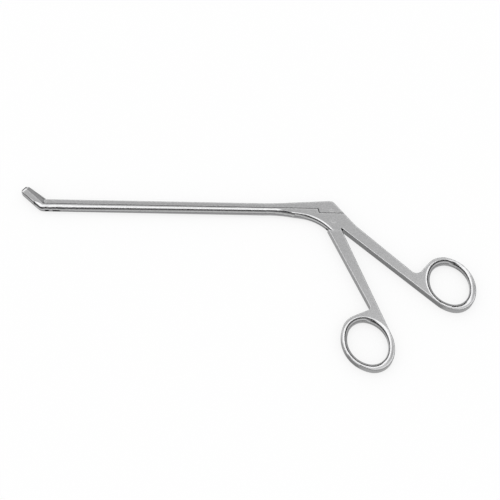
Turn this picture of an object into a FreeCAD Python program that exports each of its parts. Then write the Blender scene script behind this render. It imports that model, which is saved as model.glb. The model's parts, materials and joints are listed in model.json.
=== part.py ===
"""Bone rongeur with ring handles, a sliding bar and up-angled cup jaws, lying flat on its side.

The shaft runs along X with the jaws at the low end, +Y is the side that the slide is on, and Z is
the thickness. Everything is drawn about the axis of the handle pivot, with the underside at Z = 0,
and is moved at the end so that the origin lies under the middle of the instrument.
All lengths are in millimetres and all angles in degrees.
"""

import FreeCAD
import Part

import math
import os

# Section of the shaft
THICKNESS = 5.0
BAR_HEIGHT = 4.1
SLIDE_HEIGHT = 3.0
SEAM_ABOVE_PIVOT = 7.9
SLIDING_GAP = 0.05
SEAM_BEVEL = 0.22
SLIDE_ROUND = 0.5
HINGE_TO_PIVOT = 176.7

# Growth of the oval section, ahead of the pivot and along the jaw from its bend, and where it joins
HEAD_RUNOUT = [(43.0, 1.0), (27.0, 1.2), (12.0, 2.1)]
JAW_RUNOUT = [(0.0, 1.0), (4.5, 1.12), (9.5, 1.5)]
FRONT_JOIN_BEHIND_HINGE = 18.7
HEAD_JOIN_AHEAD_OF_PIVOT = 60.0

# Head of the fixed half
CHEEK_RADIUS = 7.2
CHEEK_END_ANGLE = -30.0
CHEEK_TOP_BEHIND_PIVOT = 3.5
HEAD_SEAM_ABOVE_PIVOT = 4.9
STEP_FROM_PIVOT = 9.9
STEP_LEAN = 0.7
STEP_GAP = 0.55
REAR_SLOPE = 50.8
REAR_SLOPE_FROM_PIVOT = 10.35
THROAT_GENTLE_RADIUS = 195.0
THROAT_GENTLE_ANGLE = 7.4
THROAT_RADIUS = 28.0
THROAT_MEETS_CHEEK = -121.4
THROAT_ROUND = 2.4
SHOULDER_GAP = 0.12

# Head of the slide
RISE_START_FROM_PIVOT = 45.0
RISE_ANGLE = 4.1
RISE_RADIUS = 200.0
CROWN_RADIUS = 4.0

# Handles and rings
RING_OPENING_LENGTH = 26.6
RING_OPENING_WIDTH = 22.4
RING_END_WALL = 4.5
RING_SIDE_WALL = 3.2
RING_INNER_SWELL = 3.2
RING_SKIM = 0.02
HANDLE_ROUND = 0.6
FINGER_RING_CENTRE = (17.6, -78.9)
FINGER_RING_TILT = -59.5
FINGER_OUTER_ROOT = (-4.0, -6.0)
FINGER_OUTER_ANGLE = -65.2
FINGER_INNER_ROOT = (4.1, -5.5)
FINGER_WEB = 2.9
FINGER_FILLET = 1.6
THUMB_RING_CENTRE = (67.4, -41.0)
THUMB_RING_TILT = -63.0
THUMB_UPPER_ROOT = (13.1, -3.4)
THUMB_UPPER_ANGLE = -43.0
THUMB_LOWER_START = (0.0, -1.6)
THUMB_WEB = 1.7
THUMB_FILLET = 4.0
THUMB_ROOT_BLEND = 25.0

# Handle lever inside the head
TONGUE_THICKNESS = 1.7
TONGUE_SIDE_GAP = 0.1
HUB_RADIUS = 4.7
HUB_GAP = 0.3
NECK_FROM = -114.0
NECK_TO = -57.0
NECK_GAP_ANGLE = 3.0
NECK_OVERLAP = 0.6
ARM_HALF_WIDTH = 1.7
HANDLE_SWING = 18.0
DRIVE_PIN_ABOVE_PIVOT = 6.81
DRIVE_PIN_RADIUS = 0.9
MORTISE_GAP = 0.3

# Handle pivot screw
SCREW_RADIUS = 1.7
SCREW_HEAD_RADIUS = 2.8
SCREW_HEAD_HEIGHT = 0.9
SCREW_SLOT_WIDTH = 0.6
SCREW_SLOT_DEPTH = 0.5

# Fits
RUNNING_GAP = 0.04
PRESS_GAP = 0.01

# Jaws
JAW_ANGLE = 41.0
BEND_AHEAD_OF_HINGE = 4.2
SEAM_BEND_RADIUS = 0.8
JAW_LENGTH = 19.6
JAW_TIP_WIDTH = 4.4
NOSE_RADIUS = 3.3
PLAN_NOSE_LENGTH = 3.2
UPPER_JAW_REAR_HEIGHT = 7.75
UPPER_JAW_REAR_AT = 3.5
JAW_ROUND = 2.1
JAW_SEAM_GAP = 0.04
CUP_LENGTH = 10.0
CUP_RADIUS = 1.75
CUP_SETBACK = 0.45
CUP_TIP_WALL = 1.0

# Jaw linkage
HINGE_BELOW_SEAM = 1.6
HINGE_PIN_RADIUS = 0.65
LINK_PIN_RADIUS = 0.6
LUG_THICKNESS = 1.6
LUG_SIDE_GAP = 0.1
LUG_RADIUS = 1.3
LUG_GAP = 0.15
LUG_WINDOW = (-1.3, 1.04)
WEB_LENGTH = 3.5
NOSE_GAP = 0.3
NOSE_WRAP = (108.0, 205.0)
FORK_LENGTH = 2.3

# Guide feet under the slide
FOOT_NECK_WIDTH = 1.5
FOOT_NECK_HEIGHT = 1.0
FOOT_WIDTH = 2.7
FOOT_HEIGHT = 0.9
FOOT_LENGTH = 1.8
FOOT_SIDE_GAP = 0.1
FOOT_END_GAP = 0.27
FRONT_FOOT_BEHIND_HINGE = 3.58
REAR_FOOT_AHEAD_OF_PIVOT = 38.0

# Values that follow from the sizes above
MID = THICKNESS / 2
TINY = 0.001
PAST = 2.0
FAR = 40.0
SLIDE_UNDERSIDE = SEAM_ABOVE_PIVOT + SLIDING_GAP
HEAD_UNDERSIDE = HEAD_SEAM_ABOVE_PIVOT + SLIDING_GAP
SLIDE_TOP = SLIDE_UNDERSIDE + SLIDE_HEIGHT
BAR_BOTTOM = SEAM_ABOVE_PIVOT - BAR_HEIGHT
TRAVEL = 2 * DRIVE_PIN_ABOVE_PIVOT * math.tan(math.radians(HANDLE_SWING / 2))
DRIVE_PIN = (-TRAVEL / 2, DRIVE_PIN_ABOVE_PIVOT)
DRIVE_PIN_RISE = math.hypot(*DRIVE_PIN) - DRIVE_PIN_ABOVE_PIVOT
HINGE = (-HINGE_TO_PIVOT, SEAM_ABOVE_PIVOT - HINGE_BELOW_SEAM)
SHAFT_JOINS = (HINGE_TO_PIVOT - FRONT_JOIN_BEHIND_HINGE, HEAD_JOIN_AHEAD_OF_PIVOT)
NOSE_SIZE = SLIDE_HEIGHT / 2
LINK_PIN = (HINGE[0] - TRAVEL / 2, SLIDE_UNDERSIDE + NOSE_SIZE)
LINK_PIN_OPEN = (LINK_PIN[0] + TRAVEL, LINK_PIN[1])
LINK_HEIGHT = LINK_PIN[1] - HINGE[1]
LINK_PIN_RISE = math.hypot(TRAVEL / 2, LINK_HEIGHT) - LINK_HEIGHT
BEND = (HINGE[0] - BEND_AHEAD_OF_HINGE, BAR_BOTTOM)
BEND_RADIUS = BAR_HEIGHT + SEAM_BEND_RADIUS
BEND_TRIM = BEND_RADIUS * math.tan(math.radians(JAW_ANGLE / 2))
BEND_START = (BEND[0] + BEND_TRIM, BAR_BOTTOM)
BEND_CENTRE = (BEND_START[0], BAR_BOTTOM + BEND_RADIUS)
SEAM_BEND = (BEND[0] + BAR_HEIGHT * math.tan(math.radians(JAW_ANGLE / 2)), SEAM_ABOVE_PIVOT)
TONGUE = (MID - TONGUE_THICKNESS / 2, MID + TONGUE_THICKNESS / 2)
TONGUE_SLOT = (TONGUE[0] - TONGUE_SIDE_GAP, TONGUE[1] + TONGUE_SIDE_GAP)
LUG = (MID - LUG_THICKNESS / 2, MID + LUG_THICKNESS / 2)
LUG_SLOT = (LUG[0] - LUG_SIDE_GAP, LUG[1] + LUG_SIDE_GAP)
RING_OUTER_LENGTH = RING_OPENING_LENGTH + 2 * RING_END_WALL
RING_OUTER_WIDTH = RING_OPENING_WIDTH + 2 * RING_SIDE_WALL


def vec(x, y, z=0.0):
    return FreeCAD.Vector(x, y, z)


def polar(radius, angle, centre=(0.0, 0.0)):
    """The point at a distance and a direction from a centre."""
    turn = math.radians(angle)
    return (centre[0] + radius * math.cos(turn), centre[1] + radius * math.sin(turn))


def along(start, angle, distance):
    return polar(distance, angle, start)


def heading(start, end):
    return math.degrees(math.atan2(end[1] - start[1], end[0] - start[0]))


def meet(first, first_angle, second, second_angle):
    """Where two lines cross, each given by a point and a direction."""
    ax, ay = polar(1.0, first_angle)
    bx, by = polar(1.0, second_angle)
    dx, dy = second[0] - first[0], second[1] - first[1]
    distance = (dx * by - dy * bx) / (ax * by - ay * bx)
    return (first[0] + ax * distance, first[1] + ay * distance)


def line(start, end):
    return Part.LineSegment(vec(*start), vec(*end)).toShape()


def arc(start, middle, end):
    return Part.Arc(vec(*start), vec(*middle), vec(*end)).toShape()


def lines(points):
    """Straight edges from each point to the next."""
    return [line(start, end) for start, end in zip(points, points[1:])]


def slab(edges, low=0.0, high=THICKNESS):
    """A plate with the outline that the edges close."""
    face = Part.Face(Part.Wire(edges))
    face.translate(vec(0, 0, low))
    return face.extrude(vec(0, 0, high - low))


def polygon(points, low=0.0, high=THICKNESS):
    return slab(lines(points + points[:1]), low, high)


def disc(centre, radius, low=0.0, high=THICKNESS):
    return Part.makeCylinder(radius, high - low, vec(centre[0], centre[1], low))


def block(xs, ys, zs):
    return Part.makeBox(xs[1] - xs[0], ys[1] - ys[0], zs[1] - zs[0], vec(xs[0], ys[0], zs[0]))


def link(start, end, radius, low=0.0, high=THICKNESS):
    """A flat bar with round ends."""
    angle = heading(start, end)
    corners = [along(start, angle + 90, radius), along(start, angle - 90, radius),
               along(end, angle - 90, radius), along(end, angle + 90, radius)]
    ends = [disc(start, radius, low, high), disc(end, radius, low, high)]
    return polygon(corners, low, high).fuse(ends).removeSplitter()


def through(centre, radius):
    """A hole right through the thickness."""
    return disc(centre, radius, -PAST, THICKNESS + PAST)


def oval_arcs(length, width):
    """The four arcs of an oval: centre, radius, middle direction and half the angle of each."""
    end_radius = width ** 2 / (2 * length)
    reach = length / 2 - end_radius
    side_radius = (reach ** 2 + width ** 2 / 4 - end_radius ** 2) / (width - 2 * end_radius)
    drop = side_radius - width / 2
    end_half = math.degrees(math.atan2(drop, reach))
    side_half = 90 - end_half
    return [((reach, 0.0), end_radius, 0.0, end_half), ((0.0, -drop), side_radius, 90.0, side_half),
            ((-reach, 0.0), end_radius, 180.0, end_half), ((0.0, drop), side_radius, 270.0, side_half)]


def oval(centre, length, width, tilt, low=0.0, high=THICKNESS):
    """An oval plate whose long axis is turned by tilt."""
    edges = []
    for arc_centre, radius, towards, half in oval_arcs(length, width):
        ends = [polar(radius, towards + turn, arc_centre) for turn in (-half, 0.0, half)]
        edges.append(arc(*ends))
    plate = slab(edges, low, high)
    plate.rotate(vec(0, 0), vec(0, 0, 1), tilt)
    plate.translate(vec(*centre))
    return plate


def ring_opening(centre, tilt):
    """The space in a ring, narrowest half way through, where the ring's oval section swells inwards.

    The curve of the section runs on a hair past the flat faces, so that it cuts them cleanly.
    """
    quarters = []
    half_height = MID + RING_SKIM
    for arc_centre, radius, towards, half in oval_arcs(RING_OPENING_LENGTH, RING_OPENING_WIDTH):
        rim = radius + RING_INNER_SWELL
        swell = Part.Ellipse(vec(0, 0), RING_INNER_SWELL, half_height)
        side = Part.ArcOfEllipse(swell, math.pi / 2, 3 * math.pi / 2).toShape()
        side.translate(vec(rim, 0))
        corners = [(rim, -half_height), (0.0, -half_height), (0.0, half_height), (rim, half_height)]
        section = Part.Face(Part.Wire([side] + lines(corners)))
        section.rotate(vec(0, 0), vec(1, 0, 0), 90)
        section.rotate(vec(0, 0), vec(0, 0, 1), towards - half)
        section.translate(vec(*arc_centre, MID))
        quarters.append(section.revolve(vec(*arc_centre), vec(0, 0, 1), 2 * half))
    space = quarters[0].fuse(quarters[1:]).removeSplitter()
    space.rotate(vec(0, 0), vec(0, 0, 1), tilt)
    space.translate(vec(*centre))
    return space


def touch_point(outside, centre, tilt, side):
    """Where the line from an outside point touches a ring's outer edge; side is 1 or -1."""
    distance = math.hypot(outside[0] - centre[0], outside[1] - centre[1])
    seen_from_ring = polar(distance, heading(centre, outside) - tilt)
    for arc_centre, radius, towards, half in oval_arcs(RING_OUTER_LENGTH, RING_OUTER_WIDTH):
        away = math.hypot(seen_from_ring[0] - arc_centre[0], seen_from_ring[1] - arc_centre[1])
        if away > radius:
            turn = side * math.degrees(math.acos(radius / away))
            place = heading(arc_centre, seen_from_ring) + turn
            if abs((place - towards + 180) % 360 - 180) <= half:
                touch = polar(radius, place, arc_centre)
    return polar(math.hypot(*touch), heading((0.0, 0.0), touch) + tilt, centre)


def foot_on_line(start, angle, point):
    """The nearest point to another on a line."""
    towards = polar(1.0, angle)
    reach = (point[0] - start[0]) * towards[0] + (point[1] - start[1]) * towards[1]
    return along(start, angle, reach)


def halfway(start, end):
    return ((start[0] + end[0]) / 2, (start[1] + end[1]) / 2)


def off_line(start, angle, point):
    """How far a point is from a line."""
    nearest = foot_on_line(start, angle, point)
    return math.hypot(point[0] - nearest[0], point[1] - nearest[1])


def middle_of(edge):
    return edge.valueAt((edge.FirstParameter + edge.LastParameter) / 2)


def near(point, reach):
    """A test for edge middles within reach of a point in plan."""
    return lambda middle: math.hypot(middle.x - point[0], middle.y - point[1]) < reach


def flat_edges(solid, wanted):
    """Edges that lie in either flat face and whose middle the wanted test accepts."""
    found = []
    for edge in solid.Edges:
        box = edge.BoundBox
        in_face = abs(box.ZMax) < TINY or abs(box.ZMin - THICKNESS) < TINY
        if box.ZLength < TINY and in_face and wanted(middle_of(edge)):
            found.append(edge)
    return found


def upright_edges(solid, wanted):
    """Edges along Z whose middle the wanted test accepts."""
    found = []
    for edge in solid.Edges:
        box = edge.BoundBox
        if box.XLength < TINY and box.YLength < TINY and wanted(middle_of(edge)):
            found.append(edge)
    return found


def across_shaft(shape, x):
    """Turn a drawing so that its X lies along Y and its Y along Z, at a place on the shaft."""
    turned = shape.copy()
    facing = FreeCAD.Rotation(vec(0, 1, 0), vec(0, 0, 1), vec(1, 0, 0))
    turned.Placement = FreeCAD.Placement(vec(x, SEAM_ABOVE_PIVOT, MID), facing)
    return turned


def shaft_oval(x, growth=1.0):
    """The elliptical outline of the shaft, centred on the seam."""
    ellipse = Part.Ellipse(vec(0, 0), BAR_HEIGHT * growth, MID * growth).toShape()
    return across_shaft(Part.Wire([ellipse]), x)


def runout(stations):
    """The oval shaft growing until it is larger than the plate."""
    return Part.makeLoft([shaft_oval(-x, growth) for x, growth in stations], True, False)


def oval_rod(low, high):
    return Part.Face(shaft_oval(low)).extrude(vec(high - low, 0, 0))


def seam_groove(height, start, end):
    """Two small V grooves that bevel both sides of a seam."""
    corners = [(SEAM_BEVEL, 0), (0, SEAM_BEVEL), (-SEAM_BEVEL, 0), (0, -SEAM_BEVEL)]
    diamond = Part.Face(Part.Wire(lines(corners + corners[:1])))
    grooves = []
    for side in (-MID, MID):
        groove = across_shaft(diamond, start).extrude(vec(end - start, 0, 0))
        groove.translate(vec(0, height - SEAM_ABOVE_PIVOT, side))
        grooves.append(groove)
    return grooves


def ring_handle(lead, hidden, line_angle, touch_side, centre, tilt, web, fillet):
    """A tapering handle and its ring: one edge ends in a web to the ring, the other touches it.

    The lead points are corners in view before the straight edge; the hidden points bound the end
    that lies inside the head.
    """
    entering = lead[-1] if lead else hidden[0]
    web_distance = RING_OUTER_LENGTH / 2 + web
    ahead = math.sqrt(web_distance ** 2 - off_line(entering, line_angle, centre) ** 2)
    web_start = along(foot_on_line(entering, line_angle, centre), line_angle, -ahead)
    web_touch = touch_point(web_start, centre, tilt, -touch_side)
    touch = touch_point(hidden[-1], centre, tilt, touch_side)
    bar = polygon(hidden + [touch, web_touch, web_start] + lead)
    ring = oval(centre, RING_OUTER_LENGTH, RING_OUTER_WIDTH, tilt)
    blank = bar.fuse(ring).removeSplitter()
    blank = blank.makeFillet(fillet, upright_edges(blank, near(web_start, TINY)))
    for corner in lead:
        blank = blank.makeFillet(THUMB_ROOT_BLEND, upright_edges(blank, near(corner, TINY)))
    inside_head = [halfway(*ends) for ends in zip(hidden, hidden[1:])]
    rims = flat_edges(blank, lambda middle: not any(near(place, TINY)(middle) for place in inside_head))
    blank = blank.makeFillet(HANDLE_ROUND, rims)
    return blank.cut(ring_opening(centre, tilt))


def slope_point(height):
    """The point at a height on the slope behind the head."""
    return meet((REAR_SLOPE_FROM_PIVOT, 0.0), -REAR_SLOPE, (0.0, height), 0.0)


def thumb_handle():
    corner = meet((REAR_SLOPE_FROM_PIVOT, 0.0), -REAR_SLOPE, THUMB_UPPER_ROOT, THUMB_UPPER_ANGLE)
    top = slope_point(HEAD_SEAM_ABOVE_PIVOT)
    hidden = [top, (THUMB_LOWER_START[0], HEAD_SEAM_ABOVE_PIVOT), THUMB_LOWER_START]
    return ring_handle([corner], hidden, THUMB_UPPER_ANGLE, 1, THUMB_RING_CENTRE,
                       THUMB_RING_TILT, THUMB_WEB, THUMB_FILLET)


def head_blank():
    """The shaft behind the join and the cheeks of the box joint, in front of the thumb handle."""
    front = -SHAFT_JOINS[1] - PAST
    kink = polar(CHEEK_RADIUS, THROAT_MEETS_CHEEK)
    gentle_drop = THROAT_GENTLE_RADIUS * (1 - math.cos(math.radians(THROAT_GENTLE_ANGLE)))
    gentle_end_y = BAR_BOTTOM - gentle_drop
    centre_y = gentle_end_y - THROAT_RADIUS * math.cos(math.radians(THROAT_GENTLE_ANGLE))
    centre = (kink[0] - math.sqrt(THROAT_RADIUS ** 2 - (kink[1] - centre_y) ** 2), centre_y)
    gentle_end = polar(THROAT_RADIUS, 90 - THROAT_GENTLE_ANGLE, centre)
    gentle_centre = along(gentle_end, -90 - THROAT_GENTLE_ANGLE, THROAT_GENTLE_RADIUS)
    gentle_middle = polar(THROAT_GENTLE_RADIUS, 90 - THROAT_GENTLE_ANGLE / 2, gentle_centre)
    start = polar(THROAT_GENTLE_RADIUS, 90, gentle_centre)
    half_way = (90 - THROAT_GENTLE_ANGLE + heading(centre, kink)) / 2
    cheek_middle = polar(CHEEK_RADIUS, (THROAT_MEETS_CHEEK + CHEEK_END_ANGLE) / 2)
    cheek_end = polar(CHEEK_RADIUS, CHEEK_END_ANGLE)
    corners = [cheek_end, (CHEEK_TOP_BEHIND_PIVOT, HEAD_SEAM_ABOVE_PIVOT),
               (-STEP_FROM_PIVOT + STEP_LEAN, HEAD_SEAM_ABOVE_PIVOT),
               (-STEP_FROM_PIVOT, SEAM_ABOVE_PIVOT), (front, SEAM_ABOVE_PIVOT), (front, BAR_BOTTOM)]
    edges = [line((front, BAR_BOTTOM), start), arc(start, gentle_middle, gentle_end),
             arc(gentle_end, polar(THROAT_RADIUS, half_way, centre), kink),
             arc(kink, cheek_middle, cheek_end)]
    edges += lines(corners)
    plate = slab(edges)

    def on_underside(middle):
        below = middle.y < BAR_BOTTOM + TINY and middle.x < kink[0]
        return below and middle.x > front + TINY

    plate = plate.makeFillet(THROAT_ROUND, flat_edges(plate, on_underside))
    rod = oval_rod(front - PAST, -HEAD_RUNOUT[0][0])
    behind = block((-HEAD_RUNOUT[-1][0], FAR), (-FAR, FAR), (-PAST, THICKNESS + PAST))
    mask = rod.fuse([runout(HEAD_RUNOUT), behind])
    return plate.common(mask)


def jaw_point(reach, rise):
    """A point measured along the jaw from the bend, and square to it."""
    return along(along(BEND, 180 - JAW_ANGLE, reach), 90 - JAW_ANGLE, rise)


def plan_mask():
    """The taper and the round nose of the jaws, seen square to them."""
    nose_start = JAW_LENGTH - PLAN_NOSE_LENGTH
    half = JAW_TIP_WIDTH / 2
    nose = Part.Ellipse(vec(JAW_LENGTH, 0), vec(nose_start, half), vec(nose_start, 0))
    upper = Part.ArcOfEllipse(nose, -math.pi / 2, math.pi / 2).toShape()
    sides = [(nose_start, half), (0, MID), (-FAR, MID), (-FAR, -MID), (0, -MID), (nose_start, -half)]
    mask = Part.Face(Part.Wire([upper] + lines(sides))).extrude(vec(0, 0, 2 * FAR))
    mask.translate(vec(0, 0, -FAR))
    forward = polar(1.0, 180 - JAW_ANGLE)
    upward = polar(1.0, 90 - JAW_ANGLE)
    facing = FreeCAD.Rotation(vec(*forward), vec(0, 0, 1), vec(*upward))
    mask.Placement = FreeCAD.Placement(vec(BEND[0], BEND[1], MID), facing).multiply(mask.Placement)
    return mask


def bent_oval():
    """The oval shaft below the seam, led round the bend and growing along the jaw."""
    lower = Part.ArcOfEllipse(Part.Ellipse(vec(0, 0), BAR_HEIGHT, MID), math.pi / 2, 3 * math.pi / 2)
    outline = Part.Wire([lower.toShape(), line((0, -MID), (0, MID))])
    half_section = Part.Face(across_shaft(outline, BEND_START[0]))
    bend = half_section.revolve(vec(*BEND_CENTRE), vec(0, 0, 1), -JAW_ANGLE)
    jaw_end = runout([(reach - BEND_START[0], growth) for reach, growth in JAW_RUNOUT])
    grown_at = BEND_START[0] - JAW_RUNOUT[-1][0]
    ahead = block((grown_at - FAR, grown_at), (-FAR, FAR), (-PAST, THICKNESS + PAST))
    pieces = [jaw_end, ahead]
    for piece in pieces:
        piece.rotate(vec(*BEND_CENTRE), vec(0, 0, 1), -JAW_ANGLE)
    rod = oval_rod(BEND_START[0], -SHAFT_JOINS[0] + 2 * PAST)
    return rod.fuse([bend] + pieces)


def jaws_blank():
    """Both jaws and the front of the shaft as one bent plate."""
    back = -SHAFT_JOINS[0] + PAST
    bend_end = jaw_point(BEND_TRIM, 0.0)
    bend_middle = polar(BEND_RADIUS, -90 - JAW_ANGLE / 2, BEND_CENTRE)
    nose_reach = JAW_LENGTH - NOSE_RADIUS
    nose_bottom = jaw_point(nose_reach, 0.0)
    nose_top = jaw_point(nose_reach, 2 * NOSE_RADIUS)
    rear_top = jaw_point(UPPER_JAW_REAR_AT, UPPER_JAW_REAR_HEIGHT)
    top_end = meet(nose_top, heading(nose_top, rear_top), (0.0, SLIDE_TOP - PAST), 0.0)
    edges = [line((back, BAR_BOTTOM), BEND_START), arc(BEND_START, bend_middle, bend_end),
             line(bend_end, nose_bottom), arc(nose_bottom, jaw_point(JAW_LENGTH, NOSE_RADIUS), nose_top),
             line(nose_top, top_end), line(top_end, (back, top_end[1])),
             line((back, top_end[1]), (back, BAR_BOTTOM))]
    plate = slab(edges)

    def outside(middle):
        return abs(middle.y - top_end[1]) > TINY and middle.x < back - TINY

    plate = plate.makeFillet(JAW_ROUND, flat_edges(plate, outside))
    return plate.common(plan_mask())


def seam_side(lift):
    """Everything on one side of the seam between the jaws, level with the shaft seam behind it."""
    turn = along(SEAM_BEND, 90 - JAW_ANGLE / 2, lift / math.cos(math.radians(JAW_ANGLE / 2)))
    tip = along(turn, 180 - JAW_ANGLE, FAR)
    back = (-SHAFT_JOINS[0] + 2 * PAST, turn[1])
    return polygon([turn, tip, along(tip, 90 - JAW_ANGLE, FAR), (back[0], back[1] + FAR), back],
                   -PAST, THICKNESS + PAST)


def cup(setback):
    """The hollow of a cup: a rod with round ends beside the seam."""
    first_reach = JAW_LENGTH - CUP_TIP_WALL - CUP_LENGTH + CUP_RADIUS
    last_reach = JAW_LENGTH - CUP_TIP_WALL - CUP_RADIUS
    first = vec(*jaw_point(first_reach, BAR_HEIGHT + setback), MID)
    last = vec(*jaw_point(last_reach, BAR_HEIGHT + setback), MID)
    rod = Part.makeCylinder(CUP_RADIUS, last_reach - first_reach, first, last - first)
    return rod.fuse([Part.makeSphere(CUP_RADIUS, first), Part.makeSphere(CUP_RADIUS, last)])


def foot(front):
    """A T-shaped guide foot."""
    xs = (front, front + FOOT_LENGTH)
    neck = (MID - FOOT_NECK_WIDTH / 2, MID + FOOT_NECK_WIDTH / 2)
    wide = (MID - FOOT_WIDTH / 2, MID + FOOT_WIDTH / 2)
    shoulder = SLIDE_UNDERSIDE - FOOT_NECK_HEIGHT
    stem = block(xs, (shoulder, SLIDE_UNDERSIDE), neck)
    return stem.fuse(block(xs, (shoulder - FOOT_HEIGHT, shoulder), wide))


def groove_and_entry(front, floor):
    """The undercut groove of a foot, the wide pocket behind it where the foot goes in and, down to
    the floor, the narrow slot that the groove is cut from."""
    xs = (front - FOOT_END_GAP, front + FOOT_LENGTH + TRAVEL + FOOT_END_GAP)
    pocket = (xs[1], xs[1] + FOOT_LENGTH + FOOT_END_GAP)
    neck = (MID - FOOT_NECK_WIDTH / 2 - FOOT_SIDE_GAP, MID + FOOT_NECK_WIDTH / 2 + FOOT_SIDE_GAP)
    wide = (MID - FOOT_WIDTH / 2 - FOOT_SIDE_GAP, MID + FOOT_WIDTH / 2 + FOOT_SIDE_GAP)
    shoulder = SLIDE_UNDERSIDE - FOOT_NECK_HEIGHT + FOOT_SIDE_GAP
    bottom = SLIDE_UNDERSIDE - FOOT_NECK_HEIGHT - FOOT_HEIGHT - FOOT_SIDE_GAP
    slot = block(xs, (min(floor, bottom), SLIDE_UNDERSIDE), neck)
    cavity = block((xs[0], pocket[1]), (bottom, shoulder), wide)
    entry = block(pocket, (bottom, SLIDE_UNDERSIDE), wide)
    return slot.fuse([cavity, entry]).removeSplitter()


def tongue_passage():
    """The slot through the head that the handle's tongue swings in."""
    low, high = TONGUE_SLOT
    from_angle = NECK_FROM - HANDLE_SWING - NECK_GAP_ANGLE
    to_angle = NECK_TO + NECK_GAP_ANGLE
    reach = CHEEK_RADIUS + PAST
    middle = (from_angle + to_angle) / 2
    middle_reach = reach / math.cos(math.radians(to_angle - middle))
    fan = polygon([(0.0, 0.0), polar(reach, from_angle), polar(middle_reach, middle),
                   polar(reach, to_angle)], low, high)
    room = arm_room(HEAD_SEAM_ABOVE_PIVOT) + TRAVEL / 2
    arm = block((-room, room), (0.0, HEAD_SEAM_ABOVE_PIVOT + PAST), TONGUE_SLOT)
    return [fan, arm, disc((0.0, 0.0), HUB_RADIUS + HUB_GAP, low, high)]


def arm_room(height):
    """Half the width that the leaning arm needs around the drive pin, down to a height."""
    lean = math.radians(HANDLE_SWING / 2)
    aside = (DRIVE_PIN_ABOVE_PIVOT - height) * math.tan(lean)
    return ARM_HALF_WIDTH / math.cos(lean) + aside + MORTISE_GAP


def fixed_half_blank():
    """Shaft, head, thumb handle and lower jaw before the slots and holes."""
    jaw_end = jaws_blank().cut(seam_side(0.0))
    jaw_end = jaw_end.common(bent_oval())
    middle = oval_rod(-SHAFT_JOINS[0], -SHAFT_JOINS[1])
    above = block((-SHAFT_JOINS[0] - PAST, -SHAFT_JOINS[1] + PAST),
                  (SEAM_ABOVE_PIVOT, SEAM_ABOVE_PIVOT + 2 * BAR_HEIGHT), (-PAST, THICKNESS + PAST))
    middle = middle.cut(above)
    return jaw_end.fuse([middle, head_blank(), thumb_handle()]).removeSplitter()


def fixed_half(blank):
    shape = blank.cut(tongue_passage())
    shape = shape.cut([through((0.0, 0.0), SCREW_RADIUS + PRESS_GAP),
                       disc((0.0, 0.0), SCREW_HEAD_RADIUS + PRESS_GAP, -PAST, SCREW_HEAD_HEIGHT)])
    low, high = LUG_SLOT
    slot = [link(HINGE, LINK_PIN, LUG_RADIUS + LUG_GAP, low, high),
            link(HINGE, LINK_PIN_OPEN, LUG_RADIUS + LUG_GAP, low, high),
            block((HINGE[0] + LUG_WINDOW[0], HINGE[0] + LUG_WINDOW[1]), (0.0, HINGE[1]), LUG_SLOT)]
    shape = shape.cut(slot)
    shape = shape.cut(through(HINGE, HINGE_PIN_RADIUS + PRESS_GAP))
    shape = shape.cut(groove_and_entry(HINGE[0] + FRONT_FOOT_BEHIND_HINGE, 0.0))
    shape = shape.cut(groove_and_entry(-REAR_FOOT_AHEAD_OF_PIVOT, SEAM_ABOVE_PIVOT))
    shape = shape.cut(cup(CUP_SETBACK))
    shape = shape.cut(seam_groove(SEAM_ABOVE_PIVOT + SLIDING_GAP / 2, SEAM_BEND[0], -STEP_FROM_PIVOT))
    return shape.cut(seam_groove(HEAD_SEAM_ABOVE_PIVOT + SLIDING_GAP / 2, -STEP_FROM_PIVOT + STEP_LEAN,
                                 REAR_SLOPE_FROM_PIVOT))


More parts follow.
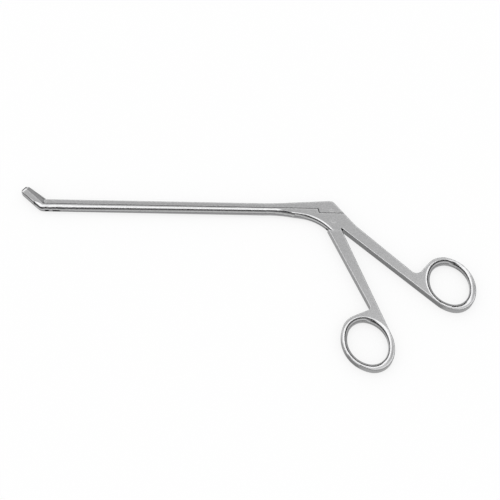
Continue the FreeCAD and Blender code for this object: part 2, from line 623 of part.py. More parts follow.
def slide_bar():
    front = LINK_PIN[0] - PAST
    rise_start = (-RISE_START_FROM_PIVOT, SLIDE_TOP)
    rise_centre = along(rise_start, 90, RISE_RADIUS)
    rise_middle = polar(RISE_RADIUS, -90 + RISE_ANGLE / 2, rise_centre)
    rise_end = polar(RISE_RADIUS, -90 + RISE_ANGLE, rise_centre)
    crown = meet(rise_end, RISE_ANGLE, (REAR_SLOPE_FROM_PIVOT, 0.0), -REAR_SLOPE)
    turn = RISE_ANGLE + REAR_SLOPE
    trim = CROWN_RADIUS * math.tan(math.radians(turn / 2))
    crown_start = along(crown, 180 + RISE_ANGLE, trim)
    crown_end = along(crown, -REAR_SLOPE, trim)
    crown_centre = along(crown_start, RISE_ANGLE - 90, CROWN_RADIUS)
    crown_middle = polar(CROWN_RADIUS, 90 + RISE_ANGLE - turn / 2, crown_centre)
    heel = slope_point(HEAD_UNDERSIDE)
    step_x = -STEP_FROM_PIVOT + STEP_GAP
    corners = [heel, (step_x + STEP_LEAN, HEAD_UNDERSIDE), (step_x, SLIDE_UNDERSIDE),
               (front, SLIDE_UNDERSIDE), (front, SLIDE_TOP)]
    edges = [line((front, SLIDE_TOP), rise_start), arc(rise_start, rise_middle, rise_end),
             line(rise_end, crown_start), arc(crown_start, crown_middle, crown_end),
             line(crown_end, heel)]
    edges += lines(corners)
    shape = slab(edges)

    def on_top(middle):
        behind = middle.x > crown_start[0] and middle.y > HEAD_UNDERSIDE + TINY
        return behind or middle.y > SLIDE_TOP - TINY

    shape = shape.makeFillet(SLIDE_ROUND, flat_edges(shape, on_top))
    nose = block((front - PAST, LINK_PIN[0]), (0.0, SLIDE_TOP + PAST), (-PAST, THICKNESS + PAST))
    shape = shape.cut(nose.cut(through(LINK_PIN, NOSE_SIZE)))
    fork = block((front - PAST, LINK_PIN[0] + FORK_LENGTH), (0.0, SLIDE_TOP + PAST), LUG_SLOT)
    room = arm_room(HEAD_UNDERSIDE)
    mortise = block((DRIVE_PIN[0] - room, DRIVE_PIN[0] + room),
                    (0.0, DRIVE_PIN[1] + ARM_HALF_WIDTH + MORTISE_GAP), TONGUE_SLOT)
    shape = shape.cut([fork, mortise])
    shape = shape.fuse([foot(HINGE[0] + FRONT_FOOT_BEHIND_HINGE), foot(-REAR_FOOT_AHEAD_OF_PIVOT)])
    shape = shape.removeSplitter()
    shape = shape.cut([through(DRIVE_PIN, DRIVE_PIN_RADIUS + PRESS_GAP),
                       through(LINK_PIN, LINK_PIN_RADIUS + PRESS_GAP)])
    shape = shape.cut(seam_groove(SEAM_ABOVE_PIVOT + SLIDING_GAP / 2, LINK_PIN[0], step_x))
    return shape.cut(seam_groove(HEAD_SEAM_ABOVE_PIVOT + SLIDING_GAP / 2, step_x + STEP_LEAN,
                                 REAR_SLOPE_FROM_PIVOT))


def finger_handle():
    """The front ring handle with its tongue, hub and driving arm."""
    shape = ring_handle([], [FINGER_OUTER_ROOT, FINGER_INNER_ROOT], FINGER_OUTER_ANGLE, -1,
                        FINGER_RING_CENTRE, FINGER_RING_TILT, FINGER_WEB, FINGER_FILLET)
    shoulder = CHEEK_RADIUS + SHOULDER_GAP
    shape = shape.cut(through((0.0, 0.0), shoulder))
    low, high = TONGUE
    neck_reach = shoulder + NECK_OVERLAP
    neck = slab([line((0.0, 0.0), polar(neck_reach, NECK_FROM)),
                 arc(polar(neck_reach, NECK_FROM), polar(neck_reach, (NECK_FROM + NECK_TO) / 2),
                     polar(neck_reach, NECK_TO)),
                 line(polar(neck_reach, NECK_TO), (0.0, 0.0))], low, high)
    arm = link((0.0, 0.0), DRIVE_PIN, ARM_HALF_WIDTH, low, high)
    shape = shape.fuse([neck, arm, disc((0.0, 0.0), HUB_RADIUS, low, high)]).removeSplitter()
    inner_end = along(DRIVE_PIN, heading(DRIVE_PIN, (0.0, 0.0)), DRIVE_PIN_RISE)
    return shape.cut([through((0.0, 0.0), SCREW_RADIUS + RUNNING_GAP),
                      link(DRIVE_PIN, inner_end, DRIVE_PIN_RADIUS + RUNNING_GAP, low - PAST, high + PAST)])


def upper_jaw():
    shape = jaws_blank().common(seam_side(JAW_SEAM_GAP))
    clear = NOSE_SIZE + NOSE_GAP
    wrap_start, wrap_end = NOSE_WRAP
    directions = [wrap_end, 270.0, 360.0, 405.0, wrap_start + 360.0]
    corners = [polar(clear, wrap_end, LINK_PIN)]
    corners += [polar(FAR, direction, LINK_PIN) for direction in directions]
    corners += [polar(clear, wrap_start, LINK_PIN)]
    edges = lines(corners)
    edges.append(arc(corners[-1], polar(clear, (wrap_start + wrap_end) / 2, LINK_PIN), corners[0]))
    rear = slab(edges, -PAST, THICKNESS + PAST)
    shape = shape.cut(rear)
    low, high = LUG
    web_end = along(LINK_PIN, 180 - JAW_ANGLE, WEB_LENGTH)
    lug = link(HINGE, LINK_PIN, LUG_RADIUS, low, high)
    shape = shape.fuse([lug, link(LINK_PIN, web_end, LUG_RADIUS, low, high)]).removeSplitter()
    inner_end = along(LINK_PIN, heading(LINK_PIN, HINGE), LINK_PIN_RISE)
    shape = shape.cut([through(HINGE, HINGE_PIN_RADIUS + RUNNING_GAP),
                       link(LINK_PIN, inner_end, LINK_PIN_RADIUS + RUNNING_GAP, low - PAST, high + PAST)])
    return shape.cut(cup(-CUP_SETBACK))


def pivot_screw():
    shape = disc((0.0, 0.0), SCREW_RADIUS)
    shape = shape.fuse(disc((0.0, 0.0), SCREW_HEAD_RADIUS, 0.0, SCREW_HEAD_HEIGHT)).removeSplitter()
    slot = block((-SCREW_HEAD_RADIUS - PAST, SCREW_HEAD_RADIUS + PAST),
                 (-SCREW_SLOT_WIDTH / 2, SCREW_SLOT_WIDTH / 2), (-PAST, SCREW_SLOT_DEPTH))
    return shape.cut(slot)


def main():
    blank = fixed_half_blank()
    parts = {
        "shaft_and_thumb_handle": fixed_half(blank),
        "sliding_bar": slide_bar(),
        "finger_handle": finger_handle(),
        "upper_jaw": upper_jaw(),
        "handle_pivot_screw": pivot_screw(),
        "drive_pin": disc(DRIVE_PIN, DRIVE_PIN_RADIUS),
        "jaw_hinge_pin": disc(HINGE, HINGE_PIN_RADIUS).common(blank),
        "jaw_link_pin": disc(LINK_PIN, LINK_PIN_RADIUS),
    }
    whole = Part.makeCompound(list(parts.values())).optimalBoundingBox(False)
    middle = vec(-(whole.XMin + whole.XMax) / 2, -(whole.YMin + whole.YMax) / 2)
    os.makedirs("parts", exist_ok=True)
    for name, shape in parts.items():
        shape.translate(middle)
        shape.exportStep("parts/" + name + ".step")


if __name__ == "__main__":
    main()
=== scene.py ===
"""Bone rongeur in satin stainless steel, lying on a white sweep inside a light tent.

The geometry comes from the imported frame. This script gives every piece of it a procedural finish,
then builds the sweep, the light and the camera of the photograph. Lengths are in metres.
"""

import json
import logging
import math
from dataclasses import dataclass, field
from enum import Enum

import bpy
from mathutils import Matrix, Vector

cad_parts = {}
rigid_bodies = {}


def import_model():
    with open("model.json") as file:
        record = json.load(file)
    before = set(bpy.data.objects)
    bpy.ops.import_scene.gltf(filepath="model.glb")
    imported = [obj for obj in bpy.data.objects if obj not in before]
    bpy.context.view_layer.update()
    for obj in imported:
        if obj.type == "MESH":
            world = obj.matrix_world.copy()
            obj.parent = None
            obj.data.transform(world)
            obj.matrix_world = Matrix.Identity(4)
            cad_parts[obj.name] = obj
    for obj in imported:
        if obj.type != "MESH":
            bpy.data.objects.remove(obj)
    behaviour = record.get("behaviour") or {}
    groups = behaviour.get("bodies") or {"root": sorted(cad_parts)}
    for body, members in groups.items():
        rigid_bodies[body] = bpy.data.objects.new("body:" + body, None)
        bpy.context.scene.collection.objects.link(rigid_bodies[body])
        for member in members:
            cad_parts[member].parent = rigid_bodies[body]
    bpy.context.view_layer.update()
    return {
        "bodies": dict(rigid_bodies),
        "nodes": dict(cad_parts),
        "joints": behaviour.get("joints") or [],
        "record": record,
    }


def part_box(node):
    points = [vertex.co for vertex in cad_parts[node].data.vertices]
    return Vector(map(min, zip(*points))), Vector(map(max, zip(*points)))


LOG = logging.getLogger("rongeur")

Direction = tuple[float, float, float]
Colour = tuple[float, float, float, float]
GroupTree = bpy.types.ShaderNodeTree
Socket = bpy.types.NodeSocket
Feed = Socket | Vector | float | Direction | Colour
Feeds = dict[str | int, Feed]

NUMBER = "NodeSocketFloat"
VECTOR = "NodeSocketVector"
COLOUR = "NodeSocketColor"

# Places of the sockets of the Mix and Mix Shader nodes, because their names repeat.
MIX_FACTOR = 0
VECTOR_FIRST, VECTOR_SECOND, VECTOR_RESULT = 4, 5, 1
COLOUR_FIRST, COLOUR_SECOND, COLOUR_RESULT = 6, 7, 2
SHADER_FIRST, SHADER_SECOND = 1, 2

WHITE: Colour = (1.0, 1.0, 1.0, 1.0)
HALF_TURN = 180.0
NOISE_MIDDLE = 0.5
RAMP_MIDDLE = 0.5


class Axis(Enum):
    """How far the belt marks are drawn out along X, Y and Z: the least is the belt's way."""

    ALONG_SHAFT = (0.04, 1.0, 1.0)
    ACROSS = (1.0, 0.12, 1.0)
    NONE = (1.0, 1.0, 1.0)


@dataclass(frozen=True)
class SteelFinish:
    """How one kind of piece was ground and polished.

    Attributes:
        name: Material name.
        colour: Base colour, fitted to the photograph and not a measured reflectance. Where pieces
            of the same steel differ in it, the difference is painted light and shade.
        roughness: Mean roughness of the satin surface.
        spread: How far the roughness wanders to either side of its mean.
        grain: Direction of the belt marks.
        grain_scale: Belt marks per metre across the grain.
        grain_height: Depth of the belt marks.
        grain_strength: How much of that depth shows, from 0 to 1.
        edge_radius: Radius of the broken edges.
        edge_polish: How much smoother the rubbed edges are.
        crown_radius: How far from its edges a flat face begins to fall away.
        crown: How much it falls away, from 0 to 1.
        handle_crown: The same on the handle.
        handle_way: Direction in which the handle leaves the head.
        handle_from: How far that way the handle begins, measured in the frame.
        painted_shade_reach: How near the next surface is where shade is painted dark into a seam.
        mottle: How uneven the satin is, from 0 to 1.
    """

    name: str
    colour: Colour = (0.66, 0.66, 0.665, 1.0)
    roughness: float = 0.16
    spread: float = 0.03
    grain: Axis = Axis.NONE
    grain_scale: float = 5200.0
    grain_height: float = 0.00001
    grain_strength: float = 0.5
    edge_radius: float = 0.00014
    edge_polish: float = 0.08
    crown_radius: float = 0.0016
    crown: float = 0.12
    handle_crown: float = 0.14
    handle_way: Direction = (1.0, 0.0, 0.0)
    handle_from: float = 0.064
    # Painted shade: how near the next surface is where a seam is painted dark.
    painted_shade_reach: float = 0.0008
    mottle: float = 0.6


class NodeSheet:
    """A node tree with short ways to add nodes to it and to feed their inputs."""

    def __init__(self, tree: GroupTree) -> None:
        """Take the tree to work on."""
        self.tree = tree

    def feed(self, node: bpy.types.Node, feeds: Feeds) -> None:
        """Link or set some inputs of a node.

        Args:
            node: The node.
            feeds: Input name or place to the socket that it is linked to, or to its value.
        """
        for label, source in feeds.items():
            if isinstance(source, Socket):
                self.tree.links.new(source, node.inputs[label])
            else:
                node.inputs[label].default_value = source

    def add(
        self, kind: str, feeds: Feeds | None = None, **settings: str | int | bool | GroupTree
    ) -> bpy.types.Node:
        """Add a node.

        Args:
            kind: Its type.
            feeds: Its inputs, as for feed.
            **settings: Its properties, such as its operation.

        Returns:
            The new node.
        """
        node = self.tree.nodes.new(kind)
        for label, setting in settings.items():
            setattr(node, label, setting)
        self.feed(node, feeds or {})
        return node

    def number(self, operation: str, *feeds: Feed, clamp: bool = False) -> Socket:
        """Add a sum on numbers.

        Args:
            operation: What it does.
            *feeds: Its inputs in order.
            clamp: Whether the result stays between 0 and 1.

        Returns:
            The result.
        """
        node = self.add(
            "ShaderNodeMath", dict(enumerate(feeds)), operation=operation, use_clamp=clamp
        )
        return node.outputs["Value"]

    def vector(self, operation: str, *feeds: Feed) -> Socket:
        """Add a sum on vectors.

        Args:
            operation: What it does.
            *feeds: Its inputs in order.

        Returns:
            The result, which is a number for a dot product.
        """
        node = self.add("ShaderNodeVectorMath", dict(enumerate(feeds)), operation=operation)
        return node.outputs["Value" if operation == "DOT_PRODUCT" else "Vector"]

    def group(self, shared: GroupTree, feeds: Feeds) -> bpy.types.ShaderNodeGroup:
        """Put a shared group into the tree.

        Args:
            shared: The group to use.
            feeds: Its inputs, as for feed.

        Returns:
            The group node.
        """
        node = self.add("ShaderNodeGroup", node_tree=shared)
        self.feed(node, feeds)
        return node

    def found(self, kind: str) -> bpy.types.Node:
        """Find the node of a type that every new material has.

        Args:
            kind: Its type.

        Returns:
            The node.
        """
        return next(node for node in self.tree.nodes if node.type == kind)


class GroupSheet(NodeSheet):
    """The sheet of a new shader group, with its own inputs and outputs."""

    def __init__(self, name: str, inputs: dict[str, str], outputs: dict[str, str]) -> None:
        """Make the group with its sockets.

        Args:
            name: Group name.
            inputs: Socket name to socket type, for the group's inputs.
            outputs: Socket name to socket type, for the group's outputs.
        """
        super().__init__(bpy.data.node_groups.new(name, "ShaderNodeTree"))
        for label, kind in inputs.items():
            self.tree.interface.new_socket(name=label, in_out="INPUT", socket_type=kind)
        for label, kind in outputs.items():
            self.tree.interface.new_socket(name=label, in_out="OUTPUT", socket_type=kind)
        self.source = self.add("NodeGroupInput").outputs
        self.sink = self.add("NodeGroupOutput")

    def place(self) -> Socket:
        """Give the place on the piece, in the frame's coordinates."""
        return self.add("ShaderNodeTexCoord").outputs["Object"]

    def wander(self, feeds: Feeds) -> Socket:
        """Add a noise that wanders to either side of 0.

        Args:
            feeds: The inputs of the noise, without its place.

        Returns:
            Its value.
        """
        noise = self.add("ShaderNodeTexNoise", {"Vector": self.place(), **feeds})
        return self.number("SUBTRACT", noise.outputs["Fac"], NOISE_MIDDLE)


class Groups:
    """Shader node groups that the finishes share. They give colours, values and normals only.

    Attributes:
        grain_noise: Fineness of the belt marks.
        smudge_noise: Size and fineness of the changes of polish.
        mottle_noise: Size and fineness of the mottling.
        edge_samples: Samples of a broken edge.
        edge_turn: How well a normal agrees with its face where the edge's mask is 0 and 1.
        crown_samples: Samples of a crowned face.
        zone_fade: Length over which one zone changes into the other.
        painted_shade_samples: Samples of the nearness of the next surface, for the painted shade.
        painted_shade_open: How open a place is where the painted shade is full and where it is
            plain steel.
        painted_shade_colour: Colour of the shade painted into seams and other close places.
    """

    grain_noise: Feeds = {"Detail": 3.0, "Roughness": 0.6}
    smudge_noise: Feeds = {"Scale": 140.0, "Detail": 4.0}
    mottle_noise: Feeds = {"Scale": 1500.0, "Detail": 3.0, "Roughness": 0.7}
    edge_samples: int = 6
    edge_turn: tuple[float, float] = (1.0, 0.9)
    crown_samples: int = 8
    zone_fade: float = 0.008
    # Painted shade: seams and other close places are painted dark by how near the next surface is.
    painted_shade_samples: int = 12
    painted_shade_open: tuple[float, float] = (0.7, 1.0)
    painted_shade_colour: Colour = (0.02, 0.02, 0.021, 1.0)

    def __init__(self) -> None:
        """Make each group once."""
        self.grain = self._belt_grain()
        self.smudge = self._smudges()
        self.edge = self._broken_edge()
        self.crown = self._crown()
        self.steel = self._mottled_steel_with_painted_shade()
        self.zone = self._zone()

    def _belt_grain(self) -> GroupTree:
        """Fine parallel marks left by a finishing belt.

        Returns:
            A group with a mark height from 0 to 1.
        """
        sheet = GroupSheet("Belt grain", {"Stretch": VECTOR, "Scale": NUMBER}, {"Height": NUMBER})
        drawn = sheet.vector("MULTIPLY", sheet.place(), sheet.source["Stretch"])
        marks = sheet.add(
            "ShaderNodeTexNoise",
            {"Vector": drawn, "Scale": sheet.source["Scale"], **self.grain_noise},
        )
        sheet.feed(sheet.sink, {"Height": marks.outputs["Fac"]})
        return sheet.tree

    def _smudges(self) -> GroupTree:
        """Slow changes of polish, as handling leaves them.

        Returns:
            A group with the roughness made from a mean and a spread.
        """
        sheet = GroupSheet("Polish", {"Mean": NUMBER, "Spread": NUMBER}, {"Roughness": NUMBER})
        roughness = sheet.number(
            "MULTIPLY_ADD",
            sheet.wander(self.smudge_noise),
            sheet.source["Spread"],
            sheet.source["Mean"],
        )
        sheet.feed(sheet.sink, {"Roughness": roughness})
        return sheet.tree

    def _broken_edge(self) -> GroupTree:
        """Edges broken with a stone: a rounded normal and a mask of where it is.

        Returns:
            A group with the softened normal and the mask.
        """
        sheet = GroupSheet("Broken edge", {"Radius": NUMBER}, {"Normal": VECTOR, "Mask": NUMBER})
        soft = sheet.add(
            "ShaderNodeBevel", {"Radius": sheet.source["Radius"]}, samples=self.edge_samples
        ).outputs["Normal"]
        face = sheet.add("ShaderNodeNewGeometry").outputs["Normal"]
        kept, turned = self.edge_turn
        mask = sheet.add("ShaderNodeMapRange", {
            "Value": sheet.vector("DOT_PRODUCT", soft, face),
            "From Min": kept,
            "From Max": turned,
        })
        sheet.feed(sheet.sink, {"Normal": soft, "Mask": mask.outputs["Result"]})
        return sheet.tree

    def _crown(self) -> GroupTree:
        """Flat faces that fall away a little towards their edges, as a belt leaves them.

        Returns:
            A group that leans a normal towards the nearest edge.
        """
        sheet = GroupSheet(
            "Crowned face",
            {"Normal": VECTOR, "Radius": NUMBER, "Amount": NUMBER},
            {"Normal": VECTOR},
        )
        wide = sheet.add(
            "ShaderNodeBevel", {"Radius": sheet.source["Radius"]}, samples=self.crown_samples
        )
        lean = sheet.add("ShaderNodeMix", data_type="VECTOR")
        sheet.feed(lean, {
            MIX_FACTOR: sheet.source["Amount"],
            VECTOR_FIRST: sheet.source["Normal"],
            VECTOR_SECOND: wide.outputs["Normal"],
        })
        sheet.feed(sheet.sink, {"Normal": sheet.vector("NORMALIZE", lean.outputs[VECTOR_RESULT])})
        return sheet.tree

    def _zone(self) -> GroupTree:
        """One value up to a place along a direction and another beyond it.

        Returns:
            A group with a mask from 0 to 1.
        """
        sheet = GroupSheet("Zone", {"Way": VECTOR, "From": NUMBER}, {"Mask": NUMBER})
        begins = sheet.source["From"]
        mask = sheet.add("ShaderNodeMapRange", {
            "Value": sheet.vector("DOT_PRODUCT", sheet.place(), sheet.source["Way"]),
            "From Min": begins,
            "From Max": sheet.number("ADD", begins, self.zone_fade),
        })
        sheet.feed(sheet.sink, {"Mask": mask.outputs["Result"]})
        return sheet.tree

    def _mottled_steel_with_painted_shade(self) -> GroupTree:
        """Steel that is mottled a little, with shade painted dark into its seams and other close
        places.

        Returns:
            A group with the colour of the steel, the painted shade included.
        """
        sheet = GroupSheet(
            "Mottled steel with painted shade",
            {"Colour": COLOUR, "Mottle": NUMBER, "Reach": NUMBER},
            {"Colour": COLOUR},
        )
        level = sheet.number(
            "MULTIPLY_ADD", sheet.wander(self.mottle_noise), sheet.source["Mottle"], 1.0
        )
        mottled = sheet.add(
            "ShaderNodeVectorMath",
            {0: sheet.source["Colour"], "Scale": level},
            operation="SCALE",
        )
        # Painted shade: the colour goes dark where another surface is near, in seams and where a
        # piece meets the floor.
        near = sheet.add(
            "ShaderNodeAmbientOcclusion",
            {"Distance": sheet.source["Reach"]},
            samples=self.painted_shade_samples,
        )
        dark, plain = self.painted_shade_open
        unshaded_share = sheet.add(
            "ShaderNodeMapRange",
            {"Value": near.outputs["AO"], "From Min": dark, "From Max": plain},
        )
        seam = sheet.add("ShaderNodeMix", data_type="RGBA")
        sheet.feed(seam, {
            MIX_FACTOR: unshaded_share.outputs["Result"],
            COLOUR_FIRST: self.painted_shade_colour,
            COLOUR_SECOND: mottled.outputs["Vector"],
        })
        sheet.feed(sheet.sink, {"Colour": seam.outputs[COLOUR_RESULT]})
        return sheet.tree


class SteelShop:
    """Makes the steel materials from their finishes."""

    def __init__(self, groups: Groups) -> None:
        """Take the groups that every material uses."""
        self.groups = groups

    def make(self, finish: SteelFinish) -> bpy.types.Material:
        """Make one steel material.

        Args:
            finish: The finish to make.

        Returns:
            The new material.
        """
        material = bpy.data.materials.new(finish.name)
        material.use_nodes = True
        sheet = NodeSheet(material.node_tree)
        edge = sheet.group(self.groups.edge, {"Radius": finish.edge_radius})
        sheet.feed(sheet.found("BSDF_PRINCIPLED"), {
            "Base Color": self._colour(sheet, finish),
            "Metallic": 1.0,
            "Roughness": self._roughness(sheet, finish, edge.outputs["Mask"]),
            "Normal": self._normal(sheet, finish, edge.outputs["Normal"]),
        })
        return material

    def _colour(self, sheet: NodeSheet, finish: SteelFinish) -> Socket:
        """Lay out the colour of a finish, with painted shade in its seams.

        Args:
            sheet: The material's sheet.
            finish: The finish.

        Returns:
            The colour.
        """
        # The colour carries painted shade in seams and other close places.
        uneven = sheet.group(self.groups.steel, {
            "Colour": finish.colour,
            "Mottle": finish.mottle,
            "Reach": finish.painted_shade_reach,
        })
        return uneven.outputs["Colour"]

    def _roughness(self, sheet: NodeSheet, finish: SteelFinish, rubbed: Socket) -> Socket:
        """Lay out the roughness of a finish, which is less on the rubbed edges.

        Args:
            sheet: The material's sheet.
            finish: The finish.
            rubbed: Mask of the broken edges.

        Returns:
            The roughness.
        """
        polish = sheet.group(
            self.groups.smudge, {"Mean": finish.roughness, "Spread": finish.spread}
        )
        gain = sheet.number("MULTIPLY", rubbed, finish.edge_polish)
        return sheet.number("SUBTRACT", polish.outputs["Roughness"], gain, clamp=True)

    def _normal(self, sheet: NodeSheet, finish: SteelFinish, softened: Socket) -> Socket:
        """Lay out the normal of a finish: broken edges, a crowned face and belt marks.

        Args:
            sheet: The material's sheet.
            finish: The finish.
            softened: The normal with broken edges.

        Returns:
            The normal.
        """
        zone = sheet.group(
            self.groups.zone, {"Way": finish.handle_way, "From": finish.handle_from}
        )
        amount = sheet.add("ShaderNodeMapRange", {
            "Value": zone.outputs["Mask"],
            "To Min": finish.crown,
            "To Max": finish.handle_crown,
        })
        crown = sheet.group(self.groups.crown, {
            "Normal": softened,
            "Radius": finish.crown_radius,
            "Amount": amount.outputs["Result"],
        })
        grain = sheet.group(
            self.groups.grain, {"Stretch": finish.grain.value, "Scale": finish.grain_scale}
        )
        marks = sheet.add("ShaderNodeBump", {
            "Strength": finish.grain_strength,
            "Distance": finish.grain_height,
            "Height": grain.outputs["Height"],
            "Normal": crown.outputs["Normal"],
        })
        return marks.outputs["Normal"]


@dataclass
class SubAssembly:
    """Pieces of the frame that share a finish.

    Attributes:
        label: Name for the log.
        nodes: Frame nodes of this sub-assembly.
        finish: Their finish.
    """

    label: str
    nodes: tuple[str, ...]
    finish: SteelFinish

    def dress(self, objects: dict[str, bpy.types.Object], shop: SteelShop) -> None:
        """Give each node its material.

        Args:
            objects: Frame nodes by name.
            shop: Where the material is made.
        """
        material = shop.make(self.finish)
        for name in self.nodes:
            for slot in objects[name].material_slots:
                slot.material = material
            LOG.info("%s: %s is %s", self.label, name, self.finish.name)


@dataclass
class Shaft(SubAssembly):
    """The lower shaft with the head and the thumb handle."""

    label: str = "shaft"
    nodes: tuple[str, ...] = ("shaft_and_thumb_handle",)
    finish: SteelFinish = SteelFinish("satin steel, shaft", grain=Axis.ALONG_SHAFT)


@dataclass
class Slide(SubAssembly):
    """The sliding bar. It is the same steel as the shaft, with its colour painted a little darker
    to stand in for shade.
    """

    label: str = "slide"
    nodes: tuple[str, ...] = ("sliding_bar",)
    finish: SteelFinish = SteelFinish(
        "satin steel, slide, painted darker",
        # Painted shade: a little darker than the shaft's colour, for the same steel.
        colour=(0.65, 0.65, 0.655, 1.0),
        grain=Axis.ALONG_SHAFT,
        crown=0.16,
        handle_crown=0.12,
    )


@dataclass
class FingerHandle(SubAssembly):
    """The ring handle that moves."""

    label: str = "finger handle"
    nodes: tuple[str, ...] = ("finger_handle",)
    finish: SteelFinish = SteelFinish(
        "satin steel, handle",
        grain=Axis.ACROSS,
        handle_way=(0.0, -1.0, 0.0),
        handle_from=-0.0298,
    )


@dataclass
class Jaw(SubAssembly):
    """The moving cup jaw. It is the same steel as the shaft, with its colour painted darker to
    stand in for shade. Its colour came out too dark: 0.5 is nearer to the photograph.
    """

    label: str = "jaw"
    nodes: tuple[str, ...] = ("upper_jaw",)
    finish: SteelFinish = SteelFinish(
        # Painted shade: a darker colour than the shaft's, for the same steel.
        "satin steel, jaw, painted darker", colour=(0.43, 0.43, 0.435, 1.0), crown=0.04
    )


@dataclass
class Pins(SubAssembly):
    """The pivot screw and the three pins."""

    label: str = "pins"
    nodes: tuple[str, ...] = ("handle_pivot_screw", "drive_pin", "jaw_hinge_pin", "jaw_link_pin")
    finish: SteelFinish = SteelFinish(
        "ground steel, pins", roughness=0.19, crown=0.0, handle_crown=0.0
    )


@dataclass(frozen=True)
class TentBand:
    """One stop of the light tent that the steel mirrors.

    Attributes:
        away: Degrees from the tent's middle, which the flat faces mirror.
        level: Brightness there.
    """

    away: float
    level: float


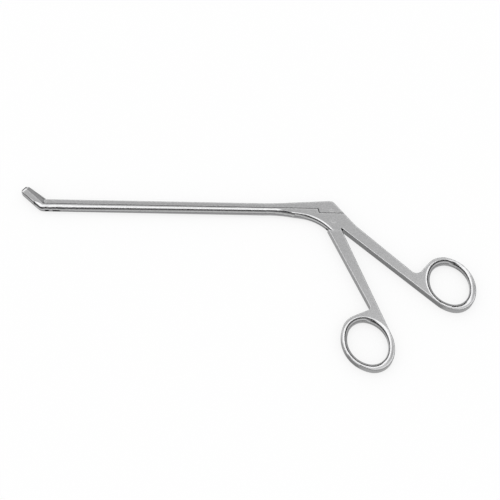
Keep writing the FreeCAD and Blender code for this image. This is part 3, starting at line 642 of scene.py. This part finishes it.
@dataclass
class Studio:
    """The white sweep, the surroundings and the camera.

    The tent's bands are fitted to the photograph's own angle. From straight above and from
    azimuth 40 at elevation 35 the flat faces come out nearly white, and from behind, at
    azimuth 225 and elevation 15, the steel is darker.

    Attributes:
        camera_from_pivot: Where the camera is, from the foot of the handle pivot.
        camera_tilt: Its tilt from straight down, in degrees.
        camera_turn: Its turn about the vertical, in degrees.
        lens: Focal length in millimetres.
        sensor_width: Width of the sensor in millimetres.
        camera_reach: Nearest and farthest distance that the camera shows.
        sweep_size: Side of the floor.
        sweep_colour: Its colour.
        sweep_roughness: Its roughness.
        middle_tilt: Tilt of the tent's middle from straight up, away from the camera, in degrees.
        middle_side: How far the middle is to the left.
        widening: How much wider than high the tent's bands are.
        stretch: Left and right places, and how much the bands are drawn together at each.
        bands: What the steel mirrors, outwards from the tent's middle.
        fill: Even light from all round that falls on the floor.
        floor_glow: How much of the floor shows plain white, without its shadow.
    """

    camera_from_pivot: Direction = (-0.0458, -0.2532, 0.4594)
    camera_tilt: float = 27.0
    camera_turn: float = 1.26
    lens: float = 61.2
    sensor_width: float = 36.0
    camera_reach: tuple[float, float] = (0.01, 100.0)
    sweep_size: float = 30.0
    sweep_colour: Colour = (0.98, 0.98, 0.98, 1.0)
    sweep_roughness: float = 0.9
    middle_tilt: float = 27.0
    middle_side: float = 0.025
    widening: float = 2.0
    stretch: tuple[float, float, float, float] = (-0.27, 0.0, 0.75, 1.25)
    bands: tuple[TentBand, ...] = (
        TentBand(0.0, 0.48),
        TentBand(5.0, 0.56),
        TentBand(7.0, 0.62),
        TentBand(10.0, 0.67),
        TentBand(13.0, 0.75),
        TentBand(17.0, 1.5),
        TentBand(34.0, 1.5),
        TentBand(36.0, 0.03),
        TentBand(55.0, 0.03),
        TentBand(62.0, 0.3),
        TentBand(68.0, 0.45),
        TentBand(76.0, 0.7),
        TentBand(92.0, 0.75),
        TentBand(100.0, 0.5),
        TentBand(112.0, 0.28),
        TentBand(130.0, 0.3),
        TentBand(145.0, 0.45),
        TentBand(180.0, 0.5),
    )
    fill: float = 1.0
    floor_glow: float = 0.75

    def build(self, pivot: Vector) -> None:
        """Build everything that isn't part of the instrument.

        Args:
            pivot: The foot of the handle pivot.
        """
        self._floor()
        self._surroundings()
        self._camera(pivot)

    def _floor(self) -> None:
        """Lay a white sweep that takes a faint shadow."""
        bpy.ops.mesh.primitive_plane_add(size=self.sweep_size, location=(0.0, 0.0, 0.0))
        floor = bpy.context.object
        floor.name = "sweep"
        material = bpy.data.materials.new("white sweep")
        material.use_nodes = True
        sheet = NodeSheet(material.node_tree)
        paint = sheet.found("BSDF_PRINCIPLED")
        sheet.feed(paint, {
            "Base Color": self.sweep_colour,
            "Roughness": self.sweep_roughness,
            "Specular IOR Level": 0.0,
        })
        seen = sheet.add("ShaderNodeLightPath").outputs["Is Camera Ray"]
        shown = sheet.add("ShaderNodeMixShader", {
            "Fac": sheet.number("MULTIPLY", seen, self.floor_glow),
            SHADER_FIRST: paint.outputs["BSDF"],
            SHADER_SECOND: sheet.add("ShaderNodeEmission").outputs["Emission"],
        })
        sheet.feed(sheet.found("OUTPUT_MATERIAL"), {"Surface": shown.outputs["Shader"]})
        floor.data.materials.append(material)
        floor.visible_glossy = False
        LOG.info("floor ready")

    def _surroundings(self) -> None:
        """Hang a light tent that lights the floor evenly and shows the steel its bands."""
        world = bpy.data.worlds.new("light tent")
        bpy.context.scene.world = world
        world.use_nodes = True
        sheet = NodeSheet(world.node_tree)
        sheet.tree.nodes.clear()
        peak = max(band.level for band in self.bands)
        mirrored = sheet.add("ShaderNodeBackground", {
            "Color": self._band_colour(sheet, self._away(sheet), peak),
            "Strength": peak,
        })
        even = sheet.add("ShaderNodeBackground", {"Color": WHITE, "Strength": self.fill})
        shown = sheet.add("ShaderNodeMixShader", {
            "Fac": sheet.add("ShaderNodeLightPath").outputs["Is Glossy Ray"],
            SHADER_FIRST: even.outputs["Background"],
            SHADER_SECOND: mirrored.outputs["Background"],
        })
        sheet.add("ShaderNodeOutputWorld", {"Surface": shown.outputs["Shader"]})
        LOG.info("light tent ready")

    def _away(self, sheet: NodeSheet) -> Socket:
        """Measure how far each direction is from the tent's middle.

        Args:
            sheet: The world's sheet.

        Returns:
            The angle, drawn together towards one side, as a share of half a turn.
        """
        way = sheet.add("ShaderNodeTexCoord").outputs["Generated"]
        narrowed = sheet.vector("MULTIPLY", way, (1.0 / self.widening, 1.0, 1.0))
        tilt = math.radians(self.middle_tilt)
        middle = Vector((-self.middle_side, math.sin(tilt), math.cos(tilt))).normalized()
        facing = sheet.vector("DOT_PRODUCT", sheet.vector("NORMALIZE", narrowed), middle)
        degrees = sheet.number("DEGREES", sheet.number("ARCCOSINE", facing))
        sides = sheet.add("ShaderNodeSeparateXYZ", {"Vector": way})
        left, right, left_draw, right_draw = self.stretch
        drawn = sheet.add("ShaderNodeMapRange", {
            "Value": sides.outputs["X"],
            "From Min": left,
            "From Max": right,
            "To Min": left_draw,
            "To Max": right_draw,
        })
        away = sheet.number("MULTIPLY", degrees, drawn.outputs["Result"])
        return sheet.number("DIVIDE", away, HALF_TURN, clamp=True)

    def _band_colour(self, sheet: NodeSheet, away: Socket, peak: float) -> Socket:
        """Turn the distance from the tent's middle into the bands' brightness.

        Args:
            sheet: The world's sheet.
            away: The distance, as a share of half a turn.
            peak: The brightest level, which shows as white.

        Returns:
            The colour.
        """
        ramp = sheet.add("ShaderNodeValToRGB", {"Fac": away})
        stops = ramp.color_ramp.elements
        while len(stops) < len(self.bands):
            stops.new(RAMP_MIDDLE)
        for stop, band in zip(stops, self.bands):
            stop.position = band.away / HALF_TURN
            level = band.level / peak
            stop.color = (level, level, level, 1.0)
        return ramp.outputs["Color"]

    def _camera(self, pivot: Vector) -> None:
        """Set up the camera of the photograph.

        Args:
            pivot: The foot of the handle pivot.
        """
        data = bpy.data.cameras.new("camera")
        data.sensor_width = self.sensor_width
        data.lens = self.lens
        data.clip_start, data.clip_end = self.camera_reach
        camera = bpy.data.objects.new("camera", data)
        camera.location = pivot + Vector(self.camera_from_pivot)
        tilt, turn = math.radians(self.camera_tilt), math.radians(self.camera_turn)
        camera.rotation_euler = (tilt, 0.0, turn)
        bpy.context.scene.collection.objects.link(camera)
        bpy.context.scene.camera = camera
        LOG.info("camera ready")


@dataclass
class Rongeur:
    """The whole instrument.

    Attributes:
        parts: Its sub-assemblies.
    """

    parts: list[SubAssembly] = field(
        default_factory=lambda: [Shaft(), Slide(), FingerHandle(), Jaw(), Pins()]
    )

    def build(self, frame: dict[str, dict]) -> None:
        """Dress the frame.
        """
        shop = SteelShop(Groups())
        for part in self.parts:
            part.dress(frame["nodes"], shop)


def main() -> None:
    """Build the scene in order."""
    logging.basicConfig(level=logging.INFO, format="%(name)s: %(message)s")
    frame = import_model()
    Rongeur().build(frame)
    low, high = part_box("handle_pivot_screw")
    Studio().build(Vector(((low[0] + high[0]) / 2, (low[1] + high[1]) / 2, low[2])))
    bpy.context.scene.view_settings.view_transform = "Standard"
    LOG.info("scene built")


if __name__ == "__main__":
    main()
